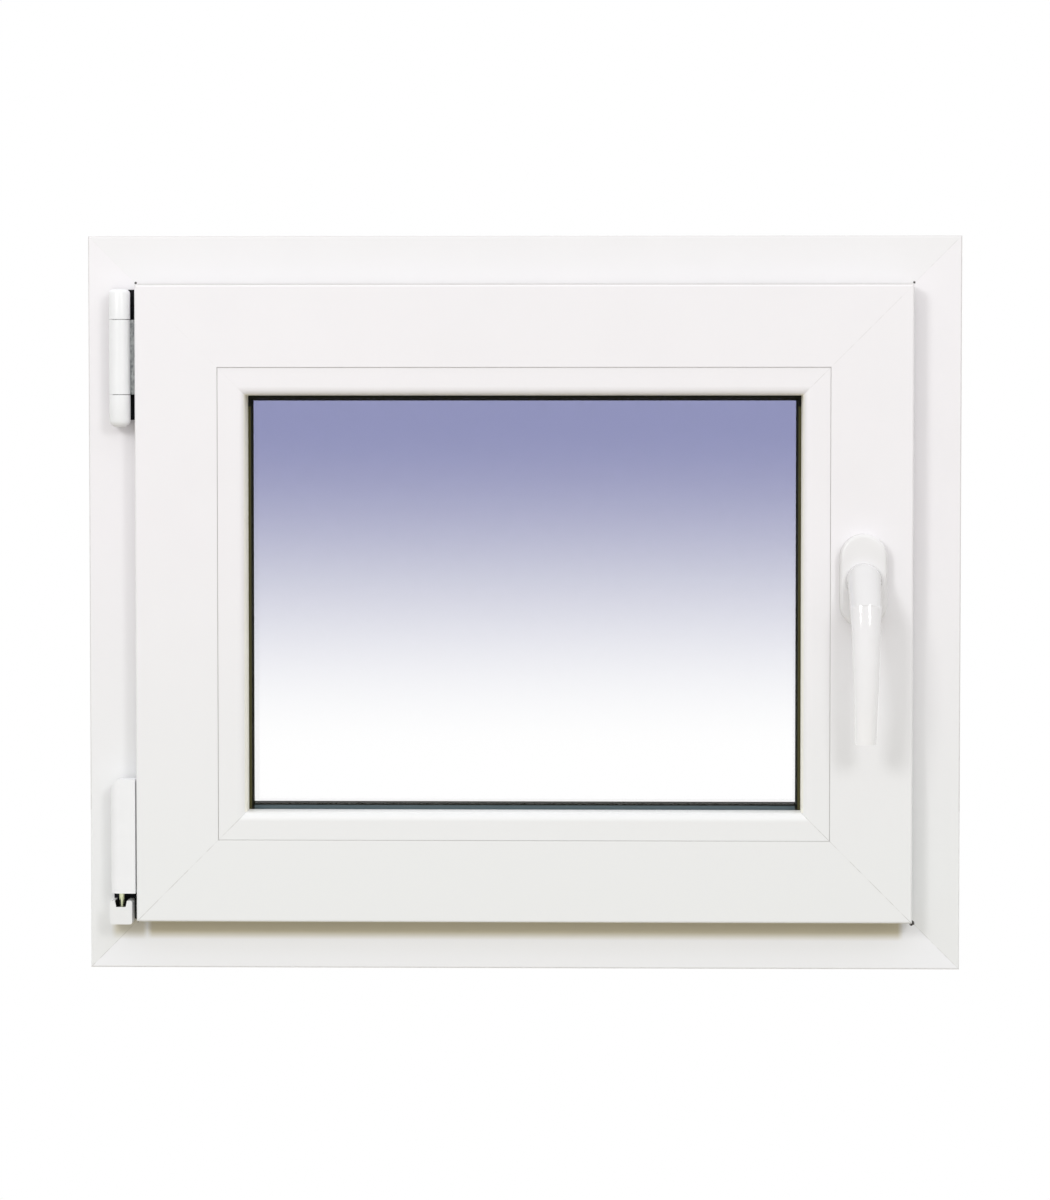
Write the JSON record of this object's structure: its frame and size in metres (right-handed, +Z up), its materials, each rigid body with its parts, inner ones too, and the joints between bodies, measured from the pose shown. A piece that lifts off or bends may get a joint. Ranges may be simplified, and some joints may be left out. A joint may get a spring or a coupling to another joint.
{
  "type": "tilt and turn window",
  "caption": "Small white PVC tilt and turn window: mitred frame, opening sash with glazing beads and insulating glass, hinges on the left and a lever handle on the right.",
  "frame": {"origin": "middle of the frame's underside, at half its width and half the frame profile's depth", "axes": "+X to the right seen from the room, +Y to the outside, +Z up"},
  "size_m": [0.6, 0.1392, 0.505],
  "materials": {
    "white_pvc": "white extruded PVC, satin",
    "gasket_rubber": "black sealing rubber",
    "pane_glass": "clear float glass",
    "spacer_plastic": "black warm-edge spacer",
    "hinge_cover": "moulded white plastic",
    "hinge_steel": "zinc plated",
    "hinge_base": "black passivated",
    "handle_lacquer": "white powder coat"
  },
  "bodies": {
    "window": {"bead_bottom": "white_pvc", "bead_left": "white_pvc", "bead_right": "white_pvc", "bead_top": "white_pvc", "frame_bottom": "white_pvc", "frame_gasket": "gasket_rubber", "frame_left": "white_pvc", "frame_right": "white_pvc", "frame_top": "white_pvc", "handle_rosette": "hinge_cover", "inner_glazing_gasket": "gasket_rubber", "inner_pane": "pane_glass", "lower_hinge_band": "hinge_cover", "lower_hinge_bearing": "hinge_cover", "lower_hinge_pivot": "hinge_steel", "lower_hinge_plate": "hinge_base", "outer_glazing_gasket": "gasket_rubber", "outer_pane": "pane_glass", "sash_bottom": "white_pvc", "sash_gasket": "gasket_rubber", "sash_left": "white_pvc", "sash_right": "white_pvc", "sash_top": "white_pvc", "spacer_bar": "spacer_plastic", "upper_hinge_caps": "hinge_cover", "upper_hinge_leaf": "hinge_steel", "upper_hinge_pin": "hinge_steel", "upper_hinge_plate": "hinge_base", "upper_hinge_sleeve": "hinge_cover"},
    "handle": {"handle_grip": "handle_lacquer", "handle_spindle": "hinge_steel"}
  },
  "joints": [
    {"name": "handle_turn", "type": "hinge", "parent": "window", "child": "handle", "pos_m": [0.2316, -0.0673, 0.2692], "axis": [0, 1, 0], "range_deg": [0, 180]}
  ]
}
